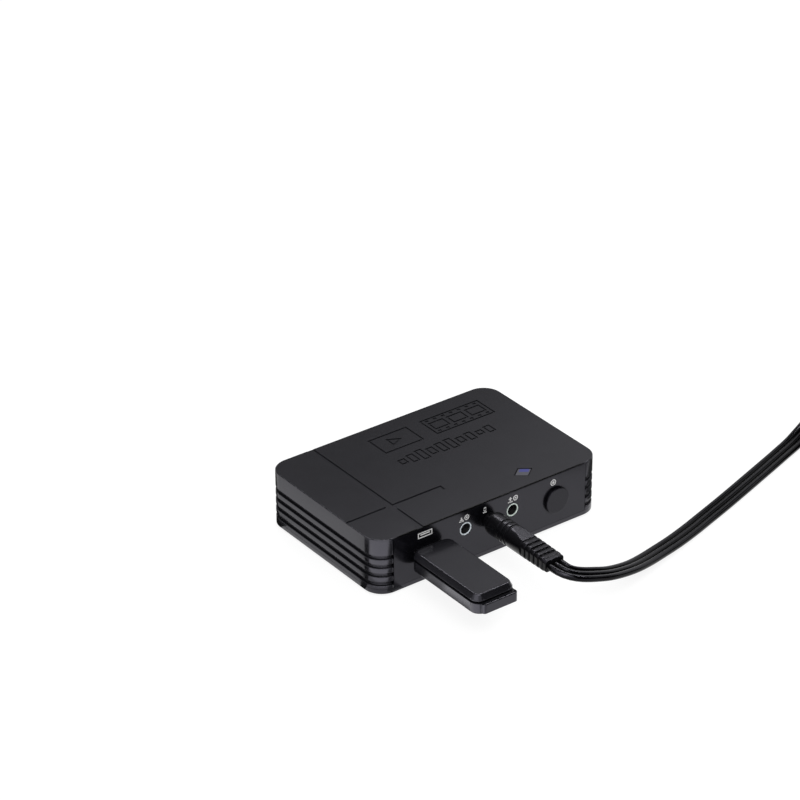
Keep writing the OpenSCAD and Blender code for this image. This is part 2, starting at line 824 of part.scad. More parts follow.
module rec_button() {
    color("#262629") translate([button_x, 0, button_z]) {
        rod_y(button_r, front_y - button_proud, flange_start - front_y + button_proud);
        rod_y(button_r + 0.8, flange_start, flange_t);
        rod_y(stem_r, stem_start, stem_l);
    }
}

module rec_plunger() {
    color("#d9d6cf") translate([button_x, 0, button_z]) rod_y(plunger_r, stem_end, switch_front - stem_end + plunger_in);
}

module rec_switch() {
    color("#17171a") difference() {
        block(button_x, switch_front, board_top, switch_w, switch_d, button_c + 3.2);
        translate([button_x, 0, button_z]) rod_y(plunger_r + 0.05, switch_front - 1, switch_bore_l + 1);
    }
}

led_t = 1.2;

module status_lens() {
    color("#6f7488") translate([lens_x, front_y + lens_from_front, 0]) {
        translate([0, 0, ceiling_z - lens_flange_t]) {
            linear_extrude(lens_flange_t) rhombus(lens_half_l + 1.2, lens_half_w + 1.2);
            linear_extrude(lens_flange_t + top_t - lens_sunk)
                rhombus(lens_half_l - lens_gap, lens_half_w - lens_gap);
        }
        translate([0, 0, board_top + led_t + 0.2])
            linear_extrude(ceiling_z - board_top - led_t - 0.2) oblong(3.4, 2.4);
    }
}

module status_led() {
    color("#f2f2ec") translate([lens_x, front_y + lens_from_front, 0]) package(0, 0, 3.5, 2.8, led_t);
}

power_w = 9;
power_d = 14;
power_h = 11;
power_c = 6;
power_bore_l = 9.5;
power_z = board_top + power_c;
power_mouth = rear_in - block_gap;

module power_socket() {
    color("#18181a") difference() {
        block(power_x, power_mouth - power_d, board_top, power_w, power_d, power_h);
        translate([power_x, 0, power_z]) rod_y(power_r, power_mouth - power_bore_l, power_bore_l + 1);
    }
}

module power_pin() {
    color("#c9cace") translate([power_x, 0, power_z]) rod_y(power_pin_r, power_mouth - power_bore_l, power_bore_l - 0.6);
}

hdmi_t = 0.4;
hdmi_d = 11.5;
hdmi_back = 1.5;
hdmi_rear = rear_y - 0.3;
hdmi_front = hdmi_rear - hdmi_d;
hdmi_tongue_z = 2.4;
hdmi_tongue_w = 11;
hdmi_tongue_l = 8;
hdmi_tongue_t = 1.2;

module hdmi_outline(w, h, low, slope) {
    polygon([[-w/2, h], [-w/2, low], [slope - w/2, 0], [w/2 - slope, 0], [w/2, low], [w/2, h]]);
}

module hdmi_shell(x) {
    translate([x, hdmi_rear, board_top]) rotate([90, 0, 0]) difference() {
        linear_extrude(hdmi_d) hdmi_outline(hdmi_w, hdmi_h, 2.2, 2.2);
        translate([0, hdmi_t, -1]) linear_extrude(hdmi_d - hdmi_back + 1)
            hdmi_outline(hdmi_w - 2*hdmi_t, hdmi_h - 2*hdmi_t, 1.95, 2);
    }
}

module hdmi_in_shell() {
    color("#c9cace") hdmi_shell(hdmi_x[0]);
}

module hdmi_out_shell() {
    color("#c9cace") hdmi_shell(hdmi_x[1]);
}

module hdmi_tongues() {
    color("#1a1a1c") for (x = hdmi_x)
        block(x, hdmi_front + hdmi_back, board_top + hdmi_tongue_z, hdmi_tongue_w, hdmi_tongue_l, hdmi_tongue_t);
}

module rear_av_socket() {
    color("#1a1a1c") translate([av_in_x, 0, 0]) mirror([0, 1, 0]) {
        audio_socket(0);
        mouth_ring(0);
    }
}

// Depth of the recess between the shells
lid_step = 0.7;

// Cavity, plug slot and outline shared by the two shells of the stick
module stick_hollow(z0, z1) {
    translate([usb_x, lid_mid, z0]) linear_extrude(z1 - z0)
        rounded_rect(stick_w - 2*stick_inset - 2*stick_wall - 2*lid_step, lid_l - 2*stick_wall - 2*lid_step, 1.6);
    block(usb_x, stick_near - stick_plug_tail, usb_z - stick_plug_h/2, stick_plug_w, stick_plug_tail + 2, stick_plug_h);
}

// Rests under the stick's board
stick_rest_y = [10, 30];
stick_rest_l = 10;
stick_rest_t = 1.2;
tab_side = 0.3;
tab_up = 0.6;
tab_in = 6;
tab_corner = 1.6;

module stick_lower_shell() {
    color("#2a2a2d") {
        difference() {
            union() {
                translate([usb_x, stick_mid, stick_low_top]) mirror([0, 0, 1])
                    chamfered_block(stick_w, stick_l, stick_corner, stick_low_h, 0.6, 0.6);
                translate([usb_x + stick_w/2 - tab_w/2 - tab_side, stick_far - tab_out/2 + tab_in/2, stick_under + tab_up])
                    linear_extrude(tab_t) rounded_rect(tab_w, tab_out + tab_in, tab_corner);
            }
            stick_hollow(stick_under + stick_wall, stick_low_top + 1);
        }
        for (y = stick_rest_y)
            block(usb_x, stick_near - y, stick_under + stick_wall, stick_rest_l, stick_rest_t,
                stick_board_z - stick_under - stick_wall);
    }
}

module stick_top_shell() {
    color("#303034") difference() {
        union() {
            translate([usb_x, lid_mid, stick_low_top]) linear_extrude(stick_recess_h)
                rounded_rect(stick_w - 2*stick_inset - 2*lid_step, lid_l - 2*stick_inset - 2*lid_step,
                    lid_corner - lid_step);
            translate([usb_x, lid_mid, stick_recess_top])
                chamfered_block(stick_w - 2*stick_inset, lid_l - 2*stick_inset, lid_corner,
                    stick_top_z - stick_recess_top, lid_edge, lid_slope);
        }
        stick_hollow(stick_low_top - 1, stick_top_z - stick_wall);
    }
}

module stick_plug_shell() {
    color("#c9cace") difference() {
        block(usb_x, stick_near - stick_plug_tail, usb_z - stick_plug_h/2, stick_plug_w,
            stick_plug_l + stick_plug_tail, stick_plug_h);
        block(usb_x, stick_near - stick_plug_tail - 1, insert_z, stick_plug_w - 2*stick_plug_t,
            stick_plug_l + stick_plug_tail + 2, stick_plug_h - 2*stick_plug_t);
    }
}

module stick_plug_insert() {
    color("#eceae4") block(usb_x, stick_near - stick_plug_tail, insert_z, stick_plug_w - 2*stick_plug_t,
        stick_plug_l + stick_plug_tail - 0.3, insert_h);
}

module stick_contacts() {
    color("#d8b25a") for (x = [-3.5, -1, 1, 3.5])
        block(usb_x + x, stick_near + 2.4, insert_z + insert_h, 1, 8, contact_t);
}

stick_board_w = 14.5;
stick_board_l = 31;
stick_memory_w = 12;
stick_memory_l = 17;
stick_chip_l = 7;
stick_chip_t = 1;
stick_chip_gap = 2.5;
stick_chip_y = stick_near - stick_plug_tail - stick_chip_l - stick_chip_gap;

module stick_board() {
    color("#1f5a34") block(usb_x, stick_near - stick_plug_tail - stick_board_l, stick_board_z,
        stick_board_w, stick_board_l, stick_board_t);
}

module stick_memory() {
    color("#1a1a1c") block(usb_x, stick_chip_y - stick_chip_gap - stick_memory_l, stick_board_z + stick_board_t,
        stick_memory_w, stick_memory_l, memory_t);
}

module stick_controller() {
    color("#1c1c1f") block(usb_x, stick_chip_y, stick_board_z + stick_board_t, stick_chip_l, stick_chip_l, stick_chip_t);
}

// Start of each contact or insulator of the lead's plug
function plug_start(i) = i == 0 ? neck_y : plug_start(i - 1) + plug_parts[i - 1];

module lead_plug_metal() {
    color("#d0c9b4") translate([jack_x, 0, jack_z]) {
        for (i = [0, 2, 4]) rod_y(plug_r, plug_start(i), plug_parts[i]);
        translate([0, plug_start(6), 0]) rotate([-90, 0, 0]) rotate_extrude()
            polygon([[0, 0], [plug_r, 0], [plug_r, 1.6], [1.35, 2], [1.35, 2.3], [1.6, 2.6], [0.6, 3.5], [0, 3.5]]);
    }
}

module lead_plug_insulators() {
    color("#1a1a1c") translate([jack_x, 0, jack_z])
        for (i = [1, 3, 5]) rod_y(plug_r - 0.02, plug_start(i), plug_parts[i]);
}

// Height of the grip where its ribs lie, falling towards the cord
function rib_height(i) = rib_first_h + (rib_last_h - rib_first_h)*i/(rib_count - 1);

// Corner radius of the grip there
function rib_round(i) = rib_corner[0] + (rib_corner[1] - rib_corner[0])*i/(rib_count - 1);

// Slice of the flat end of the grip, from y0 towards -Y
module grip_slice(y0, l, w, h, r) {
    translate([0, y0, 0]) rotate([90, 0, 0]) linear_extrude(l) rounded_rect(w, h, r);
}

module lead_plug_grip() {
    color("#1d1d20") translate([jack_x, 0, jack_z]) {
        rod_y(neck_r, grip_y - 0.5, neck_l + 0.5);
        difference() {
            union() {
                rod_y(grip_r, blend_y, round_l - cone_l);
                translate([0, grip_y, 0]) rotate([90, 0, 0]) cylinder(h = cone_l, r1 = grip_r - cone_step, r2 = grip_r);
            }
            for (y = grip_grooves) difference() {
                rod_y(grip_r + 1, grip_y - y - grip_groove_w/2, grip_groove_w);
                rod_y(grip_r - grip_groove_t, grip_y - y - grip_groove_w, 2*grip_groove_w);
            }
        }
        intersection() {
            rod_y(grip_r, ribs_y, blend_l);
            rotate([90, 0, 90]) linear_extrude(2*grip_r + 2, center = true)
                polygon([[blend_y, grip_r], [ribs_y, rib_height(0)/2], [ribs_y, -rib_height(0)/2], [blend_y, -grip_r]]);
        }
        for (i = [0:rib_count - 1]) {
            grip_slice(ribs_y - i*rib_pitch, grip_groove_w, grip_w - 2*grip_groove_t,
                rib_height(i) - 2*grip_groove_t, rib_round(i) - grip_groove_t);
            grip_slice(ribs_y - grip_groove_w - i*rib_pitch, rib_pitch - grip_groove_w, grip_w, rib_height(i),
                rib_round(i));
        }
        grip_slice(ribs_y - rib_count*rib_pitch, end_block_l, grip_w - 2*end_step, grip_end_h, rib_corner[1]);
    }
}

module lead_ribbon() {
    p = concat([for (q = ribbon_route) xyz(q)], [coil_point(0)]);
    banks = concat([for (q = ribbon_route) q[3]], [90]);
    color("#151517") swept(p, banks, [0, -1, 0], coil_heading(coil_start), flat_section(ribbon_w, ribbon_t));
}

coil_steps = round(coil_turns*coil_rings);
coil_points = [for (i = [0:coil_steps - 1]) coil_point(i)];
coil_last = concat(polar(coil_c, coil_in_r, coil_end), [ribbon_w/2]);
coil_route = concat(coil_points, [coil_last]);
coil_gap = min([for (i = [0:coil_steps - coil_rings - 1]) norm(coil_route[i] - coil_route[i + coil_rings])])
    - ribbon_t;
echo(coil_gap = coil_gap);

module lead_coil() {
    h = ribbon_w/2;
    t = ribbon_t/2;
    color("#151517") swept(coil_route, [for (q = coil_route) 90], coil_heading(coil_start), coil_heading(coil_end),
        [[h, 0], [0.8*h, t], [-0.8*h, t], [-h, 0], [-0.8*h, -t], [0.8*h, -t]]);
}

// Where the three phono plugs lie inside the coil
function phono_x(i) = coil_c[0] + (i - 1)*phono_pitch;

// Core i leaves the coil's end and bends round into its plug, levelling out on the way
function tail_route(i) =
    let(x0 = coil_last[0], y0 = coil_last[1] + tail_gap, z0 = ribbon_w/2 + (i - 1)*ribbon_t,
        r = (phono_x(i) - x0)/2)
    [for (k = [0:tail_steps]) let(a = 180*k/tail_steps, f = max(0, 2*k/tail_steps - 1), s = f*f*(3 - 2*f))
        [x0 + r - r*cos(a), y0 + (phono_y - y0)*(1 - cos(a))/2 + r*sin(a), z0 + (phono_z - z0)*s]];

module lead_tails() {
    color("#151517") for (i = [0:core_count - 1]) {
        p = tail_route(i);
        swept(p, [for (q = p) 0], [0, 1, 0], [0, -1, 0], round_section(core_r, 8));
    }
}

// Grip of a phono plug, with a ribbed strain relief where the cord enters
module phono_grip(i) {
    translate([phono_x(i), phono_y, phono_z]) {
        difference() {
            rod_y(relief_r, -relief_l, relief_l);
            for (k = [0:3]) difference() {
                rod_y(relief_r + 1, -2.4 - 2*k, 0.9);
                rod_y(relief_r - 0.7, -relief_l, relief_l);
            }
        }
        difference() {
            rod_y(phono_grip_r, -relief_l - phono_grip_l, phono_grip_l);
            for (k = [0:4]) difference() {
                rod_y(phono_grip_r + 1, -relief_l - 3 - 2*k, 0.9);
                rod_y(phono_grip_r - 0.4, -relief_l - phono_grip_l, phono_grip_l);
            }
        }
    }
}

module white_phono_grip() {
    color("#ececec") phono_grip(0);
}

module red_phono_grip() {
    color("#c81e1e") phono_grip(1);
}

module yellow_phono_grip() {
    color("#e8b71c") phono_grip(2);
}

phono_face = -relief_l - phono_grip_l;

module phono_collars() {
    color("#c9cace") for (i = [0:core_count - 1]) translate([phono_x(i), phono_y, phono_z]) difference() {
        rod_y(collar_r, phono_face - collar_l, collar_l);
        rod_y(collar_r - 0.45, phono_face - collar_l - 1, collar_l + 2);
        for (a = [0, 90]) rotate([0, a, 0]) block(0, phono_face - collar_l - 1, -collar_r - 1, 0.9, 5.5, 2*collar_r + 2);
    }
}

module phono_insulators() {
    color("#f4f4f0") for (i = [0:core_count - 1]) translate([phono_x(i), phono_y, phono_z])
        rod_y(collar_r - 0.45, phono_face - insulator_t, insulator_t);
}

module phono_pins() {
    pin_l = collar_l - insulator_t + phono_pin_out;
    color("#c9cace") for (i = [0:core_count - 1]) translate([phono_x(i), phono_y, phono_z])
        translate([0, phono_face - insulator_t, 0]) rotate([90, 0, 0]) rotate_extrude()
            polygon([[0, 0], [phono_pin_r, 0], [phono_pin_r, pin_l - 1.2], [phono_pin_r - 0.9, pin_l], [0, pin_l]]);
}

// The middle of the box with its stick, front to back, comes to the origin
module in_place() {
    translate([0, -(rear_y + stick_far - tab_out)/2, 0]) children();
}

in_place() bottom_cover();
in_place() top_cover();
in_place() front_panel();
in_place() rear_panel();
in_place() case_screws();
in_place() rubber_feet();
in_place() main_board();
in_place() board_screws();
in_place() processor();
in_place() thermal_pad();
in_place() heat_sink();
in_place() memory_chips();
in_place() flash_chip();
in_place() video_receiver();
in_place() video_transmitter();
in_place() crystal();
in_place() capacitors();
in_place() inductors();
in_place() usb_socket_shell();
in_place() usb_socket_tongue();
in_place() usb_socket_contacts();
in_place() line_in_socket();
in_place() mic_socket();
in_place() line_out_socket();
in_place() line_in_ring();
in_place() mic_ring();
in_place() line_out_ring();
in_place() socket_contacts();
in_place() rec_button();
in_place() rec_switch();
in_place() rec_plunger();
in_place() status_lens();
in_place() status_led();
in_place() power_socket();
in_place() power_pin();
in_place() hdmi_in_shell();
in_place() hdmi_out_shell();
in_place() hdmi_tongues();
in_place() rear_av_socket();
in_place() stick_top_shell();
in_place() stick_lower_shell();
in_place() stick_plug_shell();
in_place() stick_plug_insert();
in_place() stick_contacts();
in_place() stick_board();
in_place() stick_memory();
in_place() stick_controller();
in_place() lead_plug_metal();
in_place() lead_plug_insulators();
in_place() lead_plug_grip();
in_place() lead_ribbon();
in_place() lead_coil();
in_place() lead_tails();
in_place() white_phono_grip();
in_place() red_phono_grip();
in_place() yellow_phono_grip();
in_place() phono_collars();
in_place() phono_pins();
in_place() phono_insulators();
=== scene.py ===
import math

import bmesh
import bpy
import numpy as np
from mathutils import Matrix


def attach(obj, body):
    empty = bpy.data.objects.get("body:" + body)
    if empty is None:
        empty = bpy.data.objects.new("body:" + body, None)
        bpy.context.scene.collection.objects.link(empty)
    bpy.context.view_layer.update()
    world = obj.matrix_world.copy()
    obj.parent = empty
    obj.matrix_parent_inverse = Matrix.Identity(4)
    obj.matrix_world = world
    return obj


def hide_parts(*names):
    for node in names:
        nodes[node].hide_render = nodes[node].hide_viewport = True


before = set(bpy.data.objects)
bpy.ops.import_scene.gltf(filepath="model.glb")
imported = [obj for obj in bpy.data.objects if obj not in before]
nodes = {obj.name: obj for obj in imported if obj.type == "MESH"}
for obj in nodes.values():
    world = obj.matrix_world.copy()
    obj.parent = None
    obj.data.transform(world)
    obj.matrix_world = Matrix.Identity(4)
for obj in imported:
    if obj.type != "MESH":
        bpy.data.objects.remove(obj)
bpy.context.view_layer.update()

# The camera stands in front of the box, to the left and above, about 1.3 m off,
# with a narrow lens, so the casing's long edges stay nearly parallel.
azimuth, elevation, roll = (math.radians(a) for a in (-36.436, 29.615, -0.342))
camera_place = (-0.69894, -0.900025, 0.71339)
backward = np.array([math.sin(azimuth)*math.cos(elevation), -math.cos(azimuth)*math.cos(elevation),
                     math.sin(elevation)])
level = np.array([math.cos(azimuth), math.sin(azimuth), 0])
upward = np.cross(backward, level)
camera = bpy.data.objects.new("camera", bpy.data.cameras.new("camera"))
camera.data.sensor_width = 36
camera.data.lens = 146.99
camera.data.clip_end = 20
camera.matrix_world = Matrix([
    [*row, place] for row, place in zip(
        np.stack([level*math.cos(roll) + upward*math.sin(roll),
                  upward*math.cos(roll) - level*math.sin(roll), backward]).T.tolist(),
        camera_place)] + [[0, 0, 0, 1]])
bpy.context.scene.collection.objects.link(camera)
bpy.context.scene.camera = camera
bpy.context.scene.view_settings.view_transform = "Standard"

# The lead's flat cord: three round cores side by side in one glossy black jacket. It
# leaves the plug, turns flat on to the table, and its spare length stands on edge in
# a neat coil, wound inwards.
jack_x, jack_z, plug_end_y = -0.0011, 0.0173, -0.0803
middle_y = -0.023125
cord_w, cord_t, web_t = 0.0084, 0.0028, 0.0010
ribbon_route = [
    (jack_x, plug_end_y, jack_z, 0), (-0.001, -0.0835, 0.0171, 2), (0.0005, -0.0865, 0.0162, 5),
    (0.0035, -0.0883, 0.0149, 8), (0.0075, -0.0892, 0.0135, 9), (0.0125, -0.0896, 0.0119, 8),
    (0.0185, -0.0898, 0.0101, 5), (0.0255, -0.089, 0.0082, 2), (0.0335, -0.0875, 0.0064, 0),
    (0.0425, -0.085, 0.0048, 0), (0.0525, -0.082, 0.0036, 0), (0.063, -0.079, 0.0027, 0),
    (0.075, -0.0752, 0.002, 0), (0.087, -0.0712, 0.0016, 0), (0.099, -0.0674, 0.0015, 0),
    (0.111, -0.0635, 0.0015, 0), (0.123, -0.0595, 0.0015, 0), (0.135, -0.0555, 0.0015, 0),
    (0.147, -0.0515, 0.0016, 0), (0.158, -0.0478, 0.0018, 4), (0.167, -0.0445, 0.0025, 14),
    (0.175, -0.0418, 0.0033, 27), (0.1857, -0.04, 0.004, 42), (0.1964, -0.0408, 0.0044, 57),
    (0.2064, -0.0438, 0.0045, 71), (0.2155, -0.0485, 0.0044, 82)]
coil_x, coil_y, coil_r, coil_pitch = 0.192, -0.091, 0.048, 0.0033
coil_start, coil_end, coil_points = 49, -1260, 96
cord_step, tail_step = 0.002, 0.001


def coil_point(angle):
    """Spiral that loses one pitch of radius a turn, clockwise from coil_start degrees."""
    r = coil_r - coil_pitch*(coil_start - angle)/360
    a = np.radians(angle)
    return np.stack([coil_x + r*np.cos(a), coil_y + r*np.sin(a), 0*a + cord_w/2, 0*a + 90], -1)


def smooth_line(knots, step):
    """Centripetal Catmull-Rom curve through the knots, in equal steps along its length, and that length."""
    p = np.vstack([2*knots[0] - knots[1], knots, 2*knots[-1] - knots[-2]])
    t = np.concatenate([[0], np.cumsum(np.linalg.norm(np.diff(p[:, :3], axis=0), axis=1)**0.5)])
    n = len(knots) - 1
    t0, t1, t2, t3 = (t[i:i + n, None, None] for i in range(4))
    p0, p1, p2, p3 = (p[i:i + n, None] for i in range(4))
    u = t1 + (t2 - t1)*np.linspace(0, 1, 24, endpoint=False)[None, :, None]
    a1 = ((t1 - u)*p0 + (u - t0)*p1)/(t1 - t0)
    a2 = ((t2 - u)*p1 + (u - t1)*p2)/(t2 - t1)
    a3 = ((t3 - u)*p2 + (u - t2)*p3)/(t3 - t2)
    b1 = ((t2 - u)*a1 + (u - t0)*a2)/(t2 - t0)
    b2 = ((t3 - u)*a2 + (u - t1)*a3)/(t3 - t1)
    line = np.vstack([(((t2 - u)*b1 + (u - t1)*b2)/(t2 - t1)).reshape(-1, knots.shape[1]), knots[-1:]])
    s = np.concatenate([[0], np.cumsum(np.linalg.norm(np.diff(line[:, :3], axis=0), axis=1))])
    even = np.linspace(0, s[-1], max(2, round(s[-1]/step) + 1))
    return np.stack([np.interp(even, s, column) for column in line.T], -1), s[-1]


def three_cores(width, thick, web):
    """Outline of three circles in a row, cut off where the webs between them are `web` thick."""
    r, pitch = thick/2, (width - thick)/2
    a = math.asin(web/2/r)
    arcs = [(pitch, a - math.pi, math.pi - a, 18), (0, a, math.pi - a, 9),
            (-pitch, a, 2*math.pi - a, 18), (0, math.pi + a, 2*math.pi - a, 9)]
    angles = [np.linspace(start, end, count) for _, start, end, count in arcs]
    return np.vstack([np.stack([x + r*np.cos(b), r*np.sin(b)], -1) for (x, *_), b in zip(arcs, angles)])


def sweep(line, outline):
    """Rings of the outline carried along the line, square to it and turned by its fourth column."""
    t = np.gradient(line[:, :3], axis=0)
    t /= np.linalg.norm(t, axis=1, keepdims=True)
    flat = np.stack([-t[:, 1], t[:, 0], 0*t[:, 0]], -1)
    flat /= np.linalg.norm(flat, axis=1, keepdims=True)
    bank = np.radians(line[:, 3])[:, None]
    wide = np.cos(bank)*flat + np.sin(bank)*np.cross(t, flat)
    thick = np.cross(t, wide)
    return line[:, None, :3] + outline[None, :, :1]*wide[:, None] + outline[None, :, 1:]*thick[:, None]


def skin(name, rings, crease=40):
    """Mesh over a stack of closed rings, with quads between neighbours and a face over each end."""
    n, m = rings.shape[:2]
    i, k = np.meshgrid(np.arange(n - 1), np.arange(m), indexing="ij")
    a, b = i*m + k, i*m + (k + 1) % m
    faces = np.stack([a, b, b + m, a + m], -1).reshape(-1, 4).tolist()
    faces += [list(range(m))[::-1], list(range((n - 1)*m, n*m))]
    mesh = bpy.data.meshes.new(name)
    mesh.from_pydata(rings.reshape(-1, 3).tolist(), [], faces)
    mesh.shade_smooth()
    mesh.set_sharp_from_angle(angle=math.radians(crease))
    piece = bpy.data.objects.new(name, mesh)
    bpy.context.scene.collection.objects.link(piece)
    return piece


def in_place(points):
    """Points round the casing's middle, moved to the frame's origin."""
    moved = np.array(points, float)
    moved[..., 1] -= middle_y
    return moved


coil = coil_point(np.linspace(coil_start, coil_end, coil_points))
cord_line, _ = smooth_line(in_place(np.vstack([ribbon_route, coil])), cord_step)
flat_cord = skin("flat_cord", sweep(cord_line, three_cores(cord_w, cord_t, web_t)))
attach(flat_cord, "av_lead")
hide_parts("lead_ribbon", "lead_coil")

# At the end of the coil the jacket is slit and the three cores part, bend round and
# run into the white, red and yellow phono plugs.
core_r, tail_gap, plugs_y, plugs_z, plug_pitch = 0.00135, 0.00002, -0.083, 0.0047, 0.0106
core_circle = np.linspace(0, 2*math.pi, 20, endpoint=False)
tails = []
for i, colour in enumerate(("white", "red", "yellow")):
    x0, y0, _, _ = coil[-1]
    y0 += tail_gap
    z0 = cord_w/2 + (i - 1)*cord_t
    bend = (coil_x + (i - 1)*plug_pitch - x0)/2
    half = np.linspace(0, math.pi, 15)
    late = np.clip(2*half/math.pi - 1, 0, 1)
    ease = late*late*(3 - 2*late)
    knots = np.stack([x0 + bend*(1 - np.cos(half)), y0 + (plugs_y - y0)*(1 - np.cos(half))/2 + bend*np.sin(half),
                      z0 + (plugs_z - z0)*ease, 0*half], -1)
    line, length = smooth_line(in_place(knots), tail_step)
    circle = np.stack([core_r*np.cos(core_circle), core_r*np.sin(core_circle)], -1)
    tail = skin(colour + "_core", sweep(line, circle))
    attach(tail, "av_lead")
    tails.append((tail, line, length))
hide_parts("lead_tails")


def fresh(name):
    """New node material: its tree, its shader and Object coordinates."""
    material = bpy.data.materials.new(name)
    material.use_nodes = True
    tree = material.node_tree
    return material, tree, tree.nodes["Principled BSDF"], tree.nodes.new("ShaderNodeTexCoord").outputs["Object"]


def noise(tree, place, scale, detail=3.0, stretch=None):
    """Noise with so many bumps a metre, drawn out along an axis where stretch says so."""
    if stretch:
        mapping = tree.nodes.new("ShaderNodeMapping")
        mapping.inputs["Scale"].default_value = stretch
        tree.links.new(place, mapping.inputs["Vector"])
        place = mapping.outputs["Vector"]
    node = tree.nodes.new("ShaderNodeTexNoise")
    node.inputs["Scale"].default_value = scale
    node.inputs["Detail"].default_value = detail
    tree.links.new(place, node.inputs["Vector"])
    return node.outputs["Fac"]


def painted(tree, share, under, over):
    """Colour that is `under` where the share is 0 and `over` where it is 1, each a colour or a socket."""
    mix = tree.nodes.new("ShaderNodeMix")
    mix.data_type = "RGBA"
    tree.links.new(share, mix.inputs["Factor"])
    for socket, paint in (("A", under), ("B", over)):
        if isinstance(paint, bpy.types.NodeSocket):
            tree.links.new(paint, mix.inputs[socket])
        else:
            mix.inputs[socket].default_value = (*paint, 1)
    return mix.outputs["Result"]


def between(tree, value, low, high, start=0.3, end=0.7):
    """Number or colour that runs from low to high while the value runs from start to end."""
    step = tree.nodes.new("ShaderNodeMapRange")
    step.inputs["From Min"].default_value = start
    step.inputs["From Max"].default_value = end
    tree.links.new(value, step.inputs["Value"])
    if isinstance(low, (int, float)):
        step.inputs["To Min"].default_value = low
        step.inputs["To Max"].default_value = high
        return step.outputs["Result"]
    return painted(tree, step.outputs["Result"], low, high)


def relief(tree, shader, height, depth):
    """Bump of the height's pattern, so many metres deep."""
    bump = tree.nodes.new("ShaderNodeBump")
    bump.inputs["Strength"].default_value = 1
    bump.inputs["Distance"].default_value = depth
    tree.links.new(height, bump.inputs["Height"])
    tree.links.new(bump.outputs["Normal"], shader.inputs["Normal"])


def moulded(name, colour, rough=0.45, grain=5000, depth=0.000008, mottle=0.10, specular=0.5, painted_shade=None):
    """Moulded plastic or rubber: faint clouds in its colour, uneven gloss and a fine grain.

    The painted shade is a distance in metres and two shares: where less than the lower share of the
    surroundings is open within that distance, the gloss is painted black as shade, and above the upper it is
    whole.
    """
    material, tree, shader, place = fresh(name)
    dark, light = ([c*(1 + s*mottle) for c in colour] for s in (-1, 1))
    tree.links.new(between(tree, noise(tree, place, 110), dark, light), shader.inputs["Base Color"])
    tree.links.new(between(tree, noise(tree, place, 420, 4), *(rough*(1 + s*mottle/3) for s in (-1, 1))),
                   shader.inputs["Roughness"])
    shader.inputs["Specular IOR Level"].default_value = specular
    # Painted shade: the gloss goes dark where little of the surroundings is open, as shade would darken it.
    if painted_shade:
        shade_ao = tree.nodes.new("ShaderNodeAmbientOcclusion")
        shade_ao.samples = 8
        shade_ao.inputs["Distance"].default_value = painted_shade[0]
        painted_shade_tint = between(tree, shade_ao.outputs["AO"], (0.02, 0.02, 0.02), (0.87, 0.85, 1.0), *painted_shade[1:])
        tree.links.new(painted_shade_tint, shader.inputs["Specular Tint"])
    relief(tree, shader, noise(tree, place, grain, 2), depth)
    return material


def metal(name, colour, rough=0.25, stretch=(1, 12, 1), depth=0.000003):
    """Plated or drawn metal: fine lines along the way it was drawn, and a patchy shine."""
    material, tree, shader, place = fresh(name)
    shader.inputs["Metallic"].default_value = 1
    dull = [c*0.82 for c in colour]
    tree.links.new(between(tree, noise(tree, place, 260, 4), dull, colour), shader.inputs["Base Color"])
    tree.links.new(between(tree, noise(tree, place, 900, 3, stretch), rough*0.75, rough*1.4),
                   shader.inputs["Roughness"])
    relief(tree, shader, noise(tree, place, 2600, 2, stretch), depth)
    return material


def dress(material, *names):
    """Gives CAD nodes a material."""
    for name in names:
        nodes[name].data.materials.clear()
        nodes[name].data.materials.append(material)


# The cord's gloss gets painted shade on its sides towards the table.
cord_sheath = moulded("cord_sheath", (0.0012, 0.0012, 0.0015), 0.13, 1500, 0.000001, 0.2, 0.40, (0.03, 0.80, 0.99))
for piece in [flat_cord] + [t[0] for t in tails]:
    piece.data.materials.append(cord_sheath)

# The lead's plug: four nickel-plated contacts with black rings between them, in a
# grip of satin black rubber that is round in front, blends to a flat end and has
# ribs cut across it so that it can bend. It is moulded on to the cord.


def eased(name, source, material, body, size, steps=2, turn=28, shortest=0):
    """Copy of a CAD node with its sharp edges rounded off.

    The copy's loose triangles are merged and its flat faces joined. An edge's bevel is `size`
    metres, a number or a function of the edge's middle, and edges under the shortest length
    or that turn no more than `turn` degrees have none. An edge of size 0 or too short stays
    sharp if it turns 50 degrees or more, and is shaded round if less, as a chamfer's are.
    """
    apart, flat_turn, sharp_turn = 0.00002, 0.6, 50
    mesh = bpy.data.meshes.new(name)
    shape = bmesh.new()
    shape.from_mesh(nodes[source].data)
    bmesh.ops.remove_doubles(shape, verts=shape.verts, dist=apart)
    bmesh.ops.dissolve_degenerate(shape, edges=shape.edges, dist=apart)
    bmesh.ops.dissolve_limit(shape, verts=shape.verts, edges=shape.edges, angle_limit=math.radians(flat_turn))
    weight = shape.edges.layers.float.new("bevel_weight_edge")
    sizes = [(edge, size((edge.verts[0].co + edge.verts[1].co)/2) if callable(size) else size)
             for edge in shape.edges]
    widest = max(w for _, w in sizes)
    for edge, wide in sizes:
        wide = wide if edge.calc_length() > shortest else 0
        angle = math.degrees(edge.calc_face_angle(0)) if len(edge.link_faces) == 2 else 0
        if wide and angle > turn:
            edge[weight] = wide/widest
        edge.smooth = bool(wide) or angle < sharp_turn
    shape.to_mesh(mesh)
    shape.free()
    for face in mesh.polygons:
        face.use_smooth = True
    mesh.materials.clear()
    mesh.materials.append(material)
    piece = bpy.data.objects.new(name, mesh)
    bpy.context.scene.collection.objects.link(piece)
    if widest:
        bevel = piece.modifiers.new("edge", "BEVEL")
        bevel.limit_method = "WEIGHT"
        bevel.width = widest
        bevel.segments = steps
        bevel.use_clamp_overlap = False
        bevel.miter_outer = "MITER_ARC"
    even = piece.modifiers.new("even", "WEIGHTED_NORMAL")
    even.keep_sharp = True
    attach(piece, body)
    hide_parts(source)
    return piece
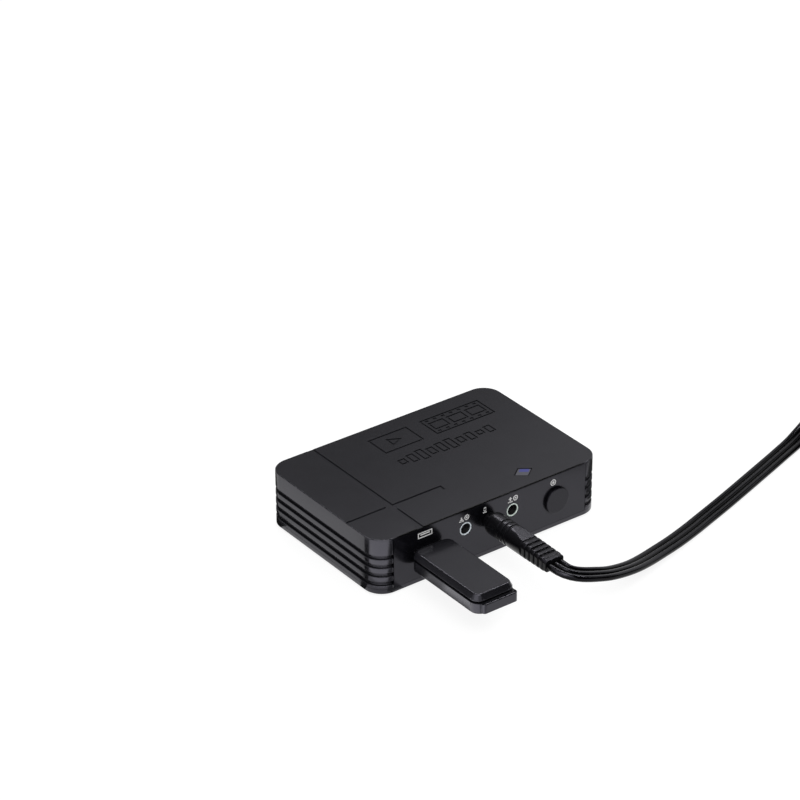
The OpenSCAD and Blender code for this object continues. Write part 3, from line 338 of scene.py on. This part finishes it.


# The grip's gloss gets painted shade on its sides towards the table and the panel.
grip_rubber = moulded("grip_rubber", (0.005, 0.005, 0.006), 0.26, 2600, 0.000002, 0.12, 0.5, (0.04, 0.78, 0.98))
plug_nickel = metal("plug_nickel", (0.74, 0.72, 0.66), 0.16, (12, 1, 12))
plug_black = moulded("plug_black", (0.015, 0.015, 0.016), 0.3)
plug_grip = eased("plug_grip", "lead_plug_grip", grip_rubber, "av_lead", 0.00022)
dress(plug_nickel, "lead_plug_metal")
dress(plug_black, "lead_plug_insulators")

# The three phono plugs: a nickel-plated pin in a white insulator, a split nickel
# collar round it, and a glossy grip in the colour that tells its socket.
grip_colours = {"white": (0.80, 0.80, 0.78), "red": (0.60, 0.025, 0.025), "yellow": (0.84, 0.52, 0.035)}
for i, (colour, shade) in enumerate(grip_colours.items()):
    gloss = moulded(colour + "_vinyl", shade, 0.3, 2500, 0.000006, 0.05, 0.5)
    eased(colour + "_grip", colour + "_phono_grip", gloss, "av_lead", 0.0003)
dress(plug_nickel, "phono_collars", "phono_pins")
dress(moulded("phono_white", (0.78, 0.77, 0.73), 0.4), "phono_insulators")

# The memory stick: a satin black lid and a wider lower shell with a tab on its far
# end, snapped together round a small board, and a folded steel plug on a white
# insert with four gold contacts.
# The satin plastics get painted shade in their gloss in grooves, seams and sunk signs.
satin_grain, satin_depth, groove_painted_shade = 2600, 0.000001, (0.0016, 0.45, 0.85)
stick_plastic = moulded("stick_plastic", (0.009, 0.009, 0.011), 0.2, satin_grain, satin_depth, 0.12, 0.5,
                        groove_painted_shade)
eased("stick_lid", "stick_top_shell", stick_plastic, "memory_stick", 0.0005, steps=3)
eased("stick_body", "stick_lower_shell", stick_plastic, "memory_stick", 0.00025, shortest=0.001)
tinned = metal("tinned_steel", (0.76, 0.76, 0.78), 0.22, (1, 12, 1))
gold = metal("gold_plating", (0.85, 0.63, 0.28), 0.2, (1, 12, 1))
insulator_white = moulded("insulator_white", (0.78, 0.77, 0.73), 0.42)


def board_green(name, pitch=0.0012):
    """Circuit board: green lacquer, lighter where copper lines and fields lie under it, tinned vias."""
    material, tree, shader, place = fresh(name)
    lines = tree.nodes.new("ShaderNodeTexBrick")
    lines.inputs["Scale"].default_value = 1
    lines.inputs["Brick Width"].default_value = pitch*9
    lines.inputs["Row Height"].default_value = pitch
    lines.inputs["Mortar Size"].default_value = pitch*0.22
    lines.inputs["Color1"].default_value = (0.012, 0.085, 0.032, 1)
    lines.inputs["Color2"].default_value = (0.015, 0.105, 0.038, 1)
    lines.inputs["Mortar"].default_value = (0.035, 0.19, 0.075, 1)
    tree.links.new(place, lines.inputs["Vector"])
    fields = tree.nodes.new("ShaderNodeTexVoronoi")
    fields.inputs["Scale"].default_value = 160
    fields.distance = "CHEBYCHEV"
    tree.links.new(place, fields.inputs["Vector"])
    poured = painted(tree, between(tree, fields.outputs["Color"], 0.0, 1.0, 0.62, 0.63), lines.outputs["Color"],
                     (0.022, 0.15, 0.055))
    vias = tree.nodes.new("ShaderNodeTexVoronoi")
    vias.inputs["Scale"].default_value = 430
    tree.links.new(place, vias.inputs["Vector"])
    dotted = painted(tree, between(tree, vias.outputs["Distance"], 0.0, 1.0, 0.14, 0.17), (0.62, 0.60, 0.52),
                     poured)
    tree.links.new(dotted, shader.inputs["Base Color"])
    tree.links.new(between(tree, noise(tree, place, 300), 0.22, 0.34), shader.inputs["Roughness"])
    relief(tree, shader, lines.outputs["Fac"], 0.00002)
    return material


circuit_board = board_green("circuit_board")
package_black = moulded("package_black", (0.020, 0.020, 0.021), 0.55, 6500, 0.000012, 0.15, 0.4)
dress(tinned, "stick_plug_shell")
dress(insulator_white, "stick_plug_insert")
dress(gold, "stick_contacts")
dress(circuit_board, "stick_board")
dress(package_black, "stick_memory", "stick_controller")

# The casing: a top with rounded ends and a bottom cover, both of finely textured
# satin black plastic, with a flat panel let in at the front and the rear.
case_l, case_w, top_z = 0.115, 0.0765, 0.0263
front_y = -case_w/2 - middle_y
casing_plastic = moulded("casing_plastic", (0.009, 0.009, 0.0108), 0.22, satin_grain, satin_depth, 0.12, 0.5,
                         groove_painted_shade)
panel_plastic = moulded("panel_plastic", (0.003, 0.003, 0.0042), 0.22, satin_grain, satin_depth, 0.12, 0.44,
                        groove_painted_shade)


def combined(tree, operation, *values):
    """Numbers joined one after the other by a maths operation."""
    total = values[0]
    for value in values[1:]:
        step = tree.nodes.new("ShaderNodeMath")
        step.operation = operation
        tree.links.new(total, step.inputs[0])
        tree.links.new(value, step.inputs[1])
        total = step.outputs[0]
    return total


def seam_shadow(material, low, high):
    """Black line where the surface lies in the block between two corners: a seam's shadow at an edge."""
    tree = material.node_tree
    shader = tree.nodes["Principled BSDF"]
    low, high = np.array(low), np.array(high)
    away = tree.nodes.new("ShaderNodeTexCoord").outputs["Object"]
    for operation, other in (("SUBTRACT", (low + high)/2), ("ABSOLUTE", None), ("DIVIDE", (high - low)/2)):
        step = tree.nodes.new("ShaderNodeVectorMath")
        step.operation = operation
        tree.links.new(away, step.inputs[0])
        if other is not None:
            step.inputs[1].default_value = other
        away = step.outputs["Vector"]
    split = tree.nodes.new("ShaderNodeSeparateXYZ")
    tree.links.new(away, split.inputs["Vector"])
    farthest = combined(tree, "MAXIMUM", *(split.outputs[axis] for axis in "XYZ"))
    clear = between(tree, farthest, 0.0, 1.0, 0.97, 1.03)
    for socket in ("Base Color", "Specular Tint"):
        paint = shader.inputs[socket].links[0].from_socket
        tree.links.new(painted(tree, clear, (0.0005, 0.0005, 0.0005), paint), shader.inputs[socket])


straight_x, seam_in, seam_out = 0.0478, 0.0004, 0.0005
seam_shadow(casing_plastic, (-straight_x, front_y - seam_out, top_z - seam_out),
            (straight_x, front_y + seam_in, top_z + seam_out))


def groove_edges(point):
    """Rounding of the top's edges: only those of the grooves, away from the panels and the seam."""
    seam_z, rim_h, grooved_l = 0.004, 0.002, 0.0105
    return 0.0003 if seam_z < point.z < top_z - rim_h and abs(point.x) > case_l/2 - grooved_l else 0


eased("top_shell", "top_cover", casing_plastic, "capture_box", groove_edges)
eased("bottom_shell", "bottom_cover", casing_plastic, "capture_box", 0)
eased("front_plate", "front_panel", panel_plastic, "capture_box", 0)
eased("rear_plate", "rear_panel", panel_plastic, "capture_box", 0)

# Four black screws hold the bottom cover, and four matt rubber feet are stuck in
# round seats beside them.
dress(metal("black_steel", (0.05, 0.05, 0.052), 0.35, (1, 1, 1)), "case_screws", "usb_socket_shell")
foot_rubber = moulded("foot_rubber", (0.018, 0.018, 0.018), 0.75, 2500, 0.00002)
eased("feet", "rubber_feet", foot_rubber, "capture_box", 0.0004)

# The signs over the sockets and the button are printed on the panel in white: a
# port, an arrow in, a microphone, an arrow out and a dot in a ring.
print_t, print_sunk = 0.00003, 0.000005


def plate(x, z, outline):
    """Thin flat solid on the panel, with the outline's points as x and z in millimetres."""
    flat = np.array(outline, float)/1000 + (x, z)
    n = len(flat)
    ring = np.array([[flat[:, 0], 0*flat[:, 0] + front_y + y, flat[:, 1]] for y in (print_sunk, -print_t)])
    points = ring.transpose(0, 2, 1).reshape(-1, 3)
    sides = [[i, (i + 1) % n, n + (i + 1) % n, n + i] for i in range(n)]
    return points, [list(range(n))[::-1], list(range(n, 2*n))] + sides


def ring_plate(x, z, outer, inner):
    """Thin flat frame on the panel between two outlines of the same number of points."""
    loops = np.array([outer, inner], float)/1000 + (x, z)
    n = loops.shape[1]
    points = np.array([[loops[k, :, 0], 0*loops[k, :, 0] + front_y + y, loops[k, :, 1]]
                       for y in (print_sunk, -print_t) for k in (0, 1)]).transpose(0, 2, 1).reshape(-1, 3)
    faces = []
    for i in range(n):
        k = (i + 1) % n
        faces += [[i, n + i, n + k, k], [2*n + i, 2*n + k, 3*n + k, 3*n + i],
                  [i, k, 2*n + k, 2*n + i], [n + i, 3*n + i, 3*n + k, n + k]]
    return points, faces


def rect(w, h, x=0.0, z=0.0):
    """Corners of an upright rectangle round x, z."""
    return [(x + a*w/2, z + b*h/2) for a, b in ((-1, -1), (1, -1), (1, 1), (-1, 1))]


def disc(r, x=0.0, z=0.0, count=28):
    """Points of a circle round x, z."""
    return [(x + r*math.cos(a), z + r*math.sin(a)) for a in np.linspace(0, 2*math.pi, count, endpoint=False)]


def arrow(down):
    """Outline of a short arrow that points down, or up."""
    s = -1 if down else 1
    half = [(-0.3, -0.7), (0.3, -0.7), (0.3, 0.15), (0.95, 0.15), (0, 1.3), (-0.95, 0.15), (-0.3, 0.15)]
    return [(a, s*b) for a, b in (half if s > 0 else half[::-1])]


sign_z = 0.0226
usb_sign, in_sign, mic_sign, out_sign, rec_sign = -0.0336, -0.0145, -0.0034, 0.0105, 0.0321


def sound_sign(x, down):
    """An arrow on a bar beside a dot in a ring, for sound that goes in or comes out."""
    arrow_x, ring_x = x - 0.0008, x + 0.0019
    return [plate(arrow_x, sign_z, arrow(down)), plate(arrow_x, sign_z, rect(2.4, 0.48, 0, -1.15)),
            ring_plate(ring_x, sign_z, disc(1.25), disc(0.8)), plate(ring_x, sign_z, disc(0.42))]


signs = [ring_plate(usb_sign, sign_z, rect(7.2, 2.6), rect(6.2, 1.6)),
         plate(usb_sign, sign_z, rect(4.8, 0.6, 0, 0.2)), *sound_sign(in_sign, True),
         plate(mic_sign, sign_z, disc(0.7, 0, 0.6)), plate(mic_sign, sign_z, rect(1.4, 0.85, 0, 0.2)),
         plate(mic_sign, sign_z, rect(0.48, 0.8, 0, -0.55)), plate(mic_sign, sign_z, rect(1.9, 0.48, 0, -1.12)),
         *sound_sign(out_sign, False),
         ring_plate(rec_sign, sign_z, disc(1.45), disc(0.98)), plate(rec_sign, sign_z, disc(0.6))]
points = np.vstack([p for p, _ in signs])
starts = np.cumsum([0] + [len(p) for p, _ in signs])
faces = [[v + s for v in face] for s, (_, fs) in zip(starts, signs) for face in fs]
mesh = bpy.data.meshes.new("panel_signs")
mesh.from_pydata(points.tolist(), [], faces)
shape = bmesh.new()
shape.from_mesh(mesh)
bmesh.ops.recalc_face_normals(shape, faces=shape.faces)
shape.to_mesh(mesh)
shape.free()
panel_signs = bpy.data.objects.new("panel_signs", mesh)
bpy.context.scene.collection.objects.link(panel_signs)
mesh.materials.append(moulded("white_print", (0.86, 0.86, 0.86), 0.5, 4000, 0.000004, 0.06))
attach(panel_signs, "capture_box")

# The board sits on four posts. Its chips are black epoxy packages, the processor has
# a soft pad and a black-anodised heat sink glued to it, and cans and coils stand round
# the power socket.
dress(circuit_board, "main_board")
dress(package_black, "processor", "memory_chips", "flash_chip", "video_receiver", "video_transmitter",
      "rec_switch")
dress(moulded("thermal_silicone", (0.28, 0.36, 0.44), 0.7, 1800, 0.00003), "thermal_pad")
dress(metal("sink_aluminium", (0.60, 0.61, 0.63), 0.38, (12, 1, 1)), "heat_sink")
can_metal = metal("can_metal", (0.72, 0.72, 0.74), 0.24, (1, 1, 1))
dress(can_metal, "board_screws", "crystal")
dress(metal("capacitor_can", (0.62, 0.63, 0.67), 0.3, (1, 1, 10)), "capacitors")
dress(moulded("ferrite", (0.085, 0.085, 0.09), 0.6, 1600, 0.00003, 0.2), "inductors")

# The sockets: a folded shell of black steel for the memory stick, tinned ones for digital
# video, black blocks with a coloured ring in the mouth for the 3.5 mm plugs, and a
# black power socket with a nickel pin.
dress(tinned, "hdmi_in_shell", "hdmi_out_shell")
dress(insulator_white, "usb_socket_tongue", "rec_plunger")
dress(gold, "usb_socket_contacts")
socket_plastic = moulded("socket_plastic", (0.012, 0.012, 0.013), 0.4)
dress(socket_plastic, "line_in_socket", "mic_socket", "line_out_socket", "hdmi_tongues", "rear_av_socket",
      "power_socket")
dress(metal("contact_nickel", (0.74, 0.72, 0.66), 0.2), "socket_contacts", "power_pin")


def ring_gloss(name, colour):
    """Coloured plastic ring: its own colour on its face, with painted shade that darkens it to near black inside
    its bore.
    """
    material, tree, shader, place = fresh(name)
    shade_start_y, shade_full_y, bore_shade_share = front_y + 0.00018, front_y + 0.00035, 0.03
    split = tree.nodes.new("ShaderNodeSeparateXYZ")
    tree.links.new(place, split.inputs["Vector"])
    # Painted shade: the colour fades to near black a little way into the bore.
    tree.links.new(between(tree, split.outputs["Y"], colour, [c*bore_shade_share for c in colour], shade_start_y, shade_full_y),
                   shader.inputs["Base Color"])
    tree.links.new(between(tree, noise(tree, place, 900), 0.22, 0.34), shader.inputs["Roughness"])
    relief(tree, shader, noise(tree, place, 2500), 0.000004)
    return material


ring_blue = ring_gloss("ring_blue", (0.86, 0.94, 1.0))
ring_green = ring_gloss("ring_green", (0.88, 1.0, 0.93))
eased("line_in_mouth", "line_in_ring", ring_blue, "capture_box", 0.0001)
eased("line_out_mouth", "line_out_ring", ring_green, "capture_box", 0.0001)
eased("mic_mouth", "mic_ring", socket_plastic, "capture_box", 0.0001)

# The record button: a round satin cap on a stem, held behind the panel by its flange
# over the push switch.
button_plastic = moulded("button_plastic", (0.003, 0.003, 0.004), 0.24, satin_grain, satin_depth, 0.1, 0.33,
                         groove_painted_shade)
eased("record_cap", "rec_button", button_plastic, "record_button", 0.0003, steps=3)

# The status window: a diamond of smoke-tinted acrylic over a small lamp. The lamp's blue light, which the
# acrylic carries up to the top, is painted into its colour as a painted glow.


def smoked(name):
    """Tinted acrylic with a black rim along its four sides and a painted blue glow over the lamp.

    The place is measured across the diamond's two pairs of sides, from -1 on one side to 1 on the other.
    Each step of a mask is a pair of such places: outside it, and into it.
    """
    material, tree, shader, place = fresh(name)
    half_l, half_w, middle = 0.0048, 0.00365, (0.0237, front_y + 0.00935)
    rim = ((-0.90, -0.82), (0.90, 0.82))
    masks = {"rim": [], "lamp_glow": []}
    for side, lamp_glow in ((1, ((-0.05, 0.15),)), (-1, ((-0.66, -0.56), (0.74, 0.66)))):
        across = tree.nodes.new("ShaderNodeVectorMath")
        across.operation = "DOT_PRODUCT"
        across.inputs[1].default_value = (1/half_l, side/half_w, 0)
        tree.links.new(place, across.inputs[0])
        start = middle[0]/half_l + side*middle[1]/half_w
        for mask, steps in (("rim", rim), ("lamp_glow", lamp_glow)):
            for out, into in steps:
                low, high = (0.0, 1.0) if out < into else (1.0, 0.0)
                masks[mask].append(between(tree, across.outputs["Value"], low, high,
                                           start + min(out, into), start + max(out, into)))
    painted_glow_share, inside = (combined(tree, "MULTIPLY", *masks[mask]) for mask in ("lamp_glow", "rim"))
    # Painted light: the lamp's blue glow is painted into the acrylic's colour over the lamp.
    tint_and_glow = painted(tree, painted_glow_share, (0.085, 0.085, 0.105), (0.060, 0.066, 0.28))
    tree.links.new(painted(tree, inside, (0.001, 0.001, 0.001), tint_and_glow), shader.inputs["Base Color"])
    tree.links.new(between(tree, inside, 0.0, 0.5, 0, 1), shader.inputs["Specular IOR Level"])
    tree.links.new(between(tree, noise(tree, place, 600), 0.12, 0.2), shader.inputs["Roughness"])
    shader.inputs["Transmission Weight"].default_value = 0.15
    relief(tree, shader, noise(tree, place, 900), 0.000004)
    return material


eased("window", "status_lens", smoked("smoked_acrylic"), "capture_box", 0.0001)
dress(moulded("lamp_epoxy", (0.82, 0.82, 0.78), 0.3), "status_led")

# The floor is a pale table top, and the world round it is a white backdrop. What the camera,
# glossy plastic and metal see of them is white; the light that they give back is plain.


def seen_rays(tree):
    """One for the camera's rays, a gloss's and those through clear plastic, and zero for the rest."""
    rays = tree.nodes.new("ShaderNodeLightPath").outputs
    return combined(tree, "MAXIMUM", rays["Is Camera Ray"], rays["Is Glossy Ray"], rays["Is Transmission Ray"])


bpy.ops.mesh.primitive_plane_add(size=8, location=(0, 0, 0))
floor = bpy.context.object
floor.name = "floor"
paper = bpy.data.materials.new("paper")
paper.use_nodes = True
tree = paper.node_tree
tree.nodes.clear()
out = tree.nodes.new("ShaderNodeOutputMaterial")
plain = tree.nodes.new("ShaderNodeBsdfDiffuse")
plain.inputs["Color"].default_value = (0.4, 0.4, 0.4, 1)
soft = tree.nodes.new("ShaderNodeBsdfDiffuse")
soft.inputs["Color"].default_value = (0.22, 0.22, 0.22, 1)
glow = tree.nodes.new("ShaderNodeEmission")
glow.inputs["Color"].default_value = (1, 1, 1, 1)
glow.inputs["Strength"].default_value = 0.87
both = tree.nodes.new("ShaderNodeAddShader")
mix = tree.nodes.new("ShaderNodeMixShader")
tree.links.new(soft.outputs[0], both.inputs[0])
tree.links.new(glow.outputs[0], both.inputs[1])
tree.links.new(seen_rays(tree), mix.inputs["Fac"])
tree.links.new(plain.outputs[0], mix.inputs[1])
tree.links.new(both.outputs[0], mix.inputs[2])
tree.links.new(mix.outputs[0], out.inputs["Surface"])
floor.data.materials.append(paper)

world = bpy.data.worlds.new("studio")
bpy.context.scene.world = world
world.use_nodes = True
tree = world.node_tree
tree.nodes.clear()
out = tree.nodes.new("ShaderNodeOutputWorld")
sky = tree.nodes.new("ShaderNodeBackground")
tree.links.new(between(tree, seen_rays(tree), 0.25, 1.0, 0, 1), sky.inputs["Strength"])
tree.links.new(sky.outputs[0], out.inputs["Surface"])


def lamp(name, place, aim, size, watts):
    """Soft box, so wide and so high, that faces the point it is aimed at."""
    data = bpy.data.lights.new(name, "AREA")
    data.shape = "RECTANGLE"
    data.size, data.size_y = size
    data.energy = watts
    light = bpy.data.objects.new(name, data)
    back = np.array(place, float) - np.array(aim, float)
    back /= np.linalg.norm(back)
    side = np.cross([0, 0, 1], back)
    side /= np.linalg.norm(side)
    axes = np.stack([side, np.cross(back, side), back]).T.tolist()
    light.matrix_world = Matrix([[*row, p] for row, p in zip(axes, place)] + [[0, 0, 0, 1]])
    bpy.context.scene.collection.objects.link(light)


# Three lamps light the box: a soft one at the left, a long narrow one behind at the
# right that draws the thin bright lines on the cord, and one high in front.
lamp("key", (-0.9, -0.5, 0.6), (0, 0, 0.01), (1.0, 1.0), 4)
lamp("strip", (0.50, 0.30, 0.82), (0.08, -0.04, 0.01), (1.30, 0.08), 4.8)
lamp("front", (-0.20, -0.62, 1.00), (0, 0, 0.01), (0.8, 0.8), 6)


def card(name, corner, across, up, left, right, span=(0, 1), near=1.0):
    """Flat card from one corner, seen only in reflections.

    Its glow runs from left to right within the span, and `near` narrows its left end.
    """
    corner, across, up = (np.array(v, float) for v in (corner, across, up))
    mesh = bpy.data.meshes.new(name)
    mesh.from_pydata([corner.tolist(), (corner + across).tolist(), (corner + across + up).tolist(),
                      (corner + near*up).tolist()], [], [(0, 1, 2, 3)])
    mesh.uv_layers.new(name="card").data.foreach_set("uv", [0, 0, 1, 0, 1, 1, 0, 1])
    piece = bpy.data.objects.new(name, mesh)
    bpy.context.scene.collection.objects.link(piece)
    piece.visible_camera = piece.visible_diffuse = piece.visible_shadow = piece.visible_transmission = False
    material = bpy.data.materials.new(name)
    material.use_nodes = True
    tree = material.node_tree
    tree.nodes.clear()
    out = tree.nodes.new("ShaderNodeOutputMaterial")
    glow = tree.nodes.new("ShaderNodeEmission")
    split = tree.nodes.new("ShaderNodeSeparateXYZ")
    tree.links.new(tree.nodes.new("ShaderNodeUVMap").outputs["UV"], split.inputs["Vector"])
    tree.links.new(between(tree, split.outputs["X"], left, right, *span), glow.inputs["Strength"])
    tree.links.new(glow.outputs[0], out.inputs["Surface"])
    mesh.materials.append(material)


# Cards stand and lie round the box, as in a studio. Its top and the stick's lid mirror
# the grey one behind it, and its rounded edges mirror the black ones at the back left
# and over the front as dark lines. One beyond the strip lamp and one low in front leave
# the cord black beside its bright lines. On the table, a bright card lies at the front
# left corner between two dark strips, a dark one at the left rear, and grey ones beside
# the right end and the stick.
card("grey_card", (0.36, 0.46, 0.02), (0.36, -0.10, 0.36), (-0.36, 0.10, 0.36), 0.17, 0.60, (0.39, 0.585))
card("black_back", (-0.66, 0.24, 0.02), (0.64, 0.32, 0), (0, 0, 0.70), 0.12, 0.12)
card("black_front", (0.05, -0.62, 0.42), (0.55, 0.30, 0), (-0.12, 0.2, 0.24), 0.02, 0.02)
card("bright_card", (-0.16, -0.06, 0.0004), (0.07, -0.06, 0), (0.064, 0.072, 0), 2.5, 2.5)
card("dark_left", (-0.0570, -0.0060, 0.0006), (-0.049, 0.008, 0), (0.015, 0.030, 0), 0.02, 0.02, near=0.05)
card("dark_front", (-0.0505, -0.0158, 0.0006), (0.003, -0.050, 0), (0.019, 0.006, 0), 0.02, 0.02, near=0.05)
card("dark_rear", (-0.0620, 0.0530, 0.0006), (-0.004, 0.055, 0), (0.03, 0, 0), 0.02, 0.02)
card("dark_right", (0.062, -0.030, 0.0004), (0.05, 0, 0), (0, 0.08, 0), 0.10, 0.10)
card("black_sky", (1.247, -0.133, 0.734), (-1.008, 1.242, 0), (-0.386, -0.314, 0.332), 0.02, 0.02)
card("black_low", (0.0, -0.95, 0.05), (0.90, 0.60, 0), (0, 0, 0.60), 0.02, 0.02)
card("dark_stick", (-0.0525, -0.052, 0.0007), (0.0085, 0, 0), (0, 0.036, 0), 0.25, 0.25)
